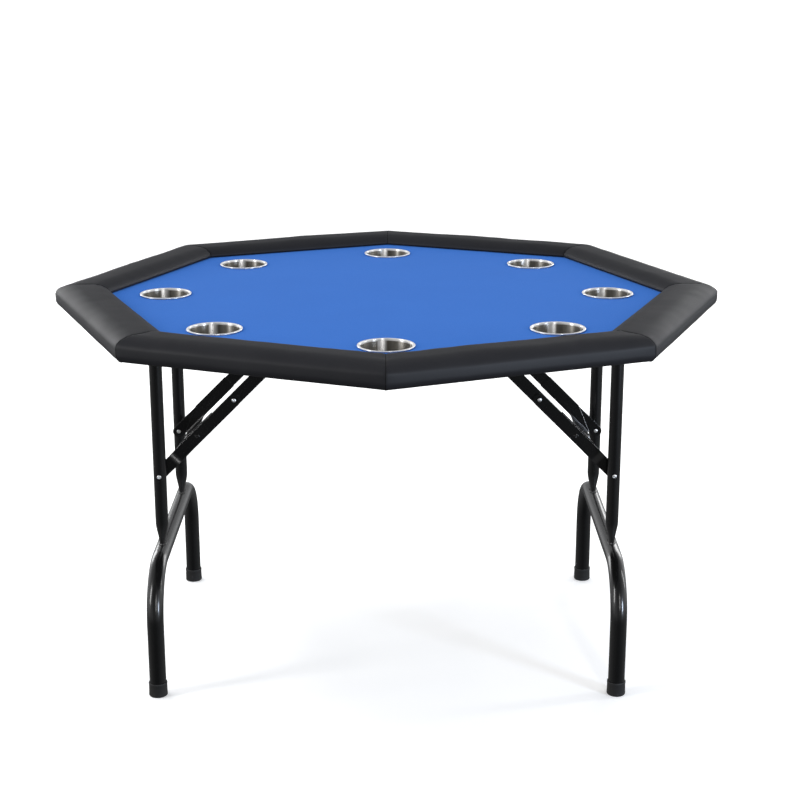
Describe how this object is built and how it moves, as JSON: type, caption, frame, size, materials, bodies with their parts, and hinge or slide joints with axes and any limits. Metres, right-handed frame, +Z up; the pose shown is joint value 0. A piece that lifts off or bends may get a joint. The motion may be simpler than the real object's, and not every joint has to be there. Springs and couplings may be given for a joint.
{
  "type": "poker table",
  "caption": "Folding octagonal poker table: blue felt top with a padded black rail, drop-in steel cup holders and two braced folding leg frames.",
  "frame": {"origin": "on the floor under the middle of the table top", "axes": "+Z up; X runs from one leg frame to the other, through two corners of the octagon; +Y runs along each leg frame's fold axis"},
  "size_m": [1.3196, 1.3196, 0.7493],
  "materials": {
    "board_wood": "dark painted fibreboard, matt",
    "blue_felt": "short-nap blue playing cloth, matt",
    "rail_leatherette": "soft black leatherette over foam, satin",
    "stainless_cup": "spun stainless steel, satin",
    "black_powder_coat": "black powder coat on steel, semi-gloss",
    "zinc_fastener": "bright zinc plate",
    "foot_rubber": "moulded black rubber, matt"
  },
  "bodies": {
    "table_top": {"playing_board": "board_wood", "felt_cloth": "blue_felt", "rail_pad_1": "rail_leatherette", "rail_pad_2": "rail_leatherette", "rail_pad_3": "rail_leatherette", "rail_pad_4": "rail_leatherette", "rail_pad_5": "rail_leatherette", "rail_pad_6": "rail_leatherette", "rail_pad_7": "rail_leatherette", "rail_pad_8": "rail_leatherette", "leg_bracket_left_front": "black_powder_coat", "leg_bolt_left_front": "zinc_fastener", "leg_bracket_left_back": "black_powder_coat", "leg_bolt_left_back": "zinc_fastener", "brace_bracket_left": "black_powder_coat", "brace_rod_left": "zinc_fastener", "leg_bracket_right_front": "black_powder_coat", "leg_bolt_right_front": "zinc_fastener", "leg_bracket_right_back": "black_powder_coat", "leg_bolt_right_back": "zinc_fastener", "brace_bracket_right": "black_powder_coat", "brace_rod_right": "zinc_fastener"},
    "left_leg": {"foot_tube_left": "black_powder_coat", "leg_upright_left_front": "black_powder_coat", "foot_cap_left_front": "foot_rubber", "arm_rivet_left_front": "zinc_fastener", "leg_upright_left_back": "black_powder_coat", "foot_cap_left_back": "foot_rubber", "arm_rivet_left_back": "zinc_fastener"},
    "left_upper_brace": {"upper_bar_left_front": "black_powder_coat", "upper_bar_left_back": "black_powder_coat"},
    "left_lower_brace": {"catch_plate_left": "black_powder_coat", "lower_arm_left_front": "black_powder_coat", "knee_rivet_left_front": "zinc_fastener", "lower_arm_left_back": "black_powder_coat", "knee_rivet_left_back": "zinc_fastener"},
    "right_leg": {"foot_tube_right": "black_powder_coat", "leg_upright_right_front": "black_powder_coat", "foot_cap_right_front": "foot_rubber", "arm_rivet_right_front": "zinc_fastener", "leg_upright_right_back": "black_powder_coat", "foot_cap_right_back": "foot_rubber", "arm_rivet_right_back": "zinc_fastener"},
    "right_upper_brace": {"upper_bar_right_front": "black_powder_coat", "upper_bar_right_back": "black_powder_coat"},
    "right_lower_brace": {"catch_plate_right": "black_powder_coat", "lower_arm_right_front": "black_powder_coat", "knee_rivet_right_front": "zinc_fastener", "lower_arm_right_back": "black_powder_coat", "knee_rivet_right_back": "zinc_fastener"},
    "cup_1": {"cup_holder_1": "stainless_cup"},
    "cup_2": {"cup_holder_2": "stainless_cup"},
    "cup_3": {"cup_holder_3": "stainless_cup"},
    "cup_4": {"cup_holder_4": "stainless_cup"},
    "cup_5": {"cup_holder_5": "stainless_cup"},
    "cup_6": {"cup_holder_6": "stainless_cup"},
    "cup_7": {"cup_holder_7": "stainless_cup"},
    "cup_8": {"cup_holder_8": "stainless_cup"}
  },
  "joints": [
    {"name": "left_leg_fold", "type": "hinge", "parent": "table_top", "child": "left_leg", "pos_m": [-0.443, 0, 0.693], "axis": [0, -1, 0], "range_deg": [0, 90]},
    {"name": "left_upper_brace_fold", "type": "hinge", "parent": "table_top", "child": "left_upper_brace", "pos_m": [-0.1495, 0, 0.693], "axis": [0, -1, 0], "range_deg": [-45.1, 0]},
    {"name": "left_lower_brace_fold", "type": "hinge", "parent": "left_leg", "child": "left_lower_brace", "pos_m": [-0.443, 0, 0.3995], "axis": [0, -1, 0], "range_deg": [0, 45.1]},
    {"name": "right_leg_fold", "type": "hinge", "parent": "table_top", "child": "right_leg", "pos_m": [0.443, 0, 0.693], "axis": [0, 1, 0], "range_deg": [0, 84]},
    {"name": "right_upper_brace_fold", "type": "hinge", "parent": "table_top", "child": "right_upper_brace", "pos_m": [0.1495, 0, 0.693], "axis": [0, 1, 0], "range_deg": [-43.9, 0]},
    {"name": "right_lower_brace_fold", "type": "hinge", "parent": "right_leg", "child": "right_lower_brace", "pos_m": [0.443, 0, 0.3995], "axis": [0, 1, 0], "range_deg": [0, 43.9]},
    {"name": "cup_1_lift", "type": "slide", "parent": "table_top", "child": "cup_1", "axis": [0, 0, 1], "range_m": [0, 0.08]},
    {"name": "cup_2_lift", "type": "slide", "parent": "table_top", "child": "cup_2", "axis": [0, 0, 1], "range_m": [0, 0.08]},
    {"name": "cup_3_lift", "type": "slide", "parent": "table_top", "child": "cup_3", "axis": [0, 0, 1], "range_m": [0, 0.08]},
    {"name": "cup_4_lift", "type": "slide", "parent": "table_top", "child": "cup_4", "axis": [0, 0, 1], "range_m": [0, 0.08]},
    {"name": "cup_5_lift", "type": "slide", "parent": "table_top", "child": "cup_5", "axis": [0, 0, 1], "range_m": [0, 0.08]},
    {"name": "cup_6_lift", "type": "slide", "parent": "table_top", "child": "cup_6", "axis": [0, 0, 1], "range_m": [0, 0.08]},
    {"name": "cup_7_lift", "type": "slide", "parent": "table_top", "child": "cup_7", "axis": [0, 0, 1], "range_m": [0, 0.08]},
    {"name": "cup_8_lift", "type": "slide", "parent": "table_top", "child": "cup_8", "axis": [0, 0, 1], "range_m": [0, 0.08]}
  ],
  "couplings": [
    {"joint": "left_upper_brace_fold", "follows": "left_leg_fold", "ratio": -0.5},
    {"joint": "left_lower_brace_fold", "follows": "left_leg_fold", "ratio": 0.5},
    {"joint": "right_upper_brace_fold", "follows": "right_leg_fold", "ratio": -0.5209},
    {"joint": "right_lower_brace_fold", "follows": "right_leg_fold", "ratio": 0.5209}
  ]
}
